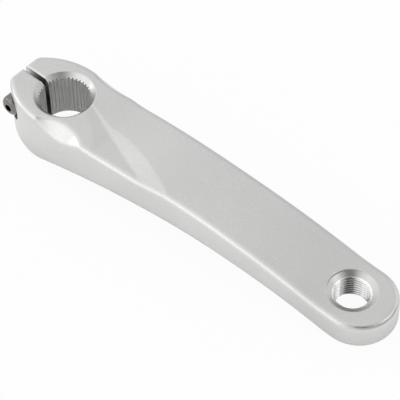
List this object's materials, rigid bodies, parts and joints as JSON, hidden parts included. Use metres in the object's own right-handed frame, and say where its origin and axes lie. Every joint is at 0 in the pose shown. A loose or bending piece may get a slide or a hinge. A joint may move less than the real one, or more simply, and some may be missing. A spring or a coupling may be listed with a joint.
{
  "type": "bicycle crank arm",
  "caption": "Left bicycle crank arm, forged in one piece, with a splined and slit spindle hub closed by a pinch bolt, a facetted outer face and a threaded pedal hole.",
  "frame": {"origin": "on the spindle axis where the splines begin, 2 mm below the hub's outer face", "axes": "+X along the arm from the spindle axis to the pedal axis, +Z out of the arm's outer face, +Y completes the right-handed frame and points away from the bolt's head"},
  "size_m": [0.1793, 0.0328, 0.0284],
  "materials": {
    "crank_arm": "satin, silver anodised",
    "pinch_bolt": "polished, plated"
  },
  "bodies": {
    "root": {"crank_arm": "crank_arm", "pinch_bolt": "pinch_bolt"}
  },
  "joints": []
}
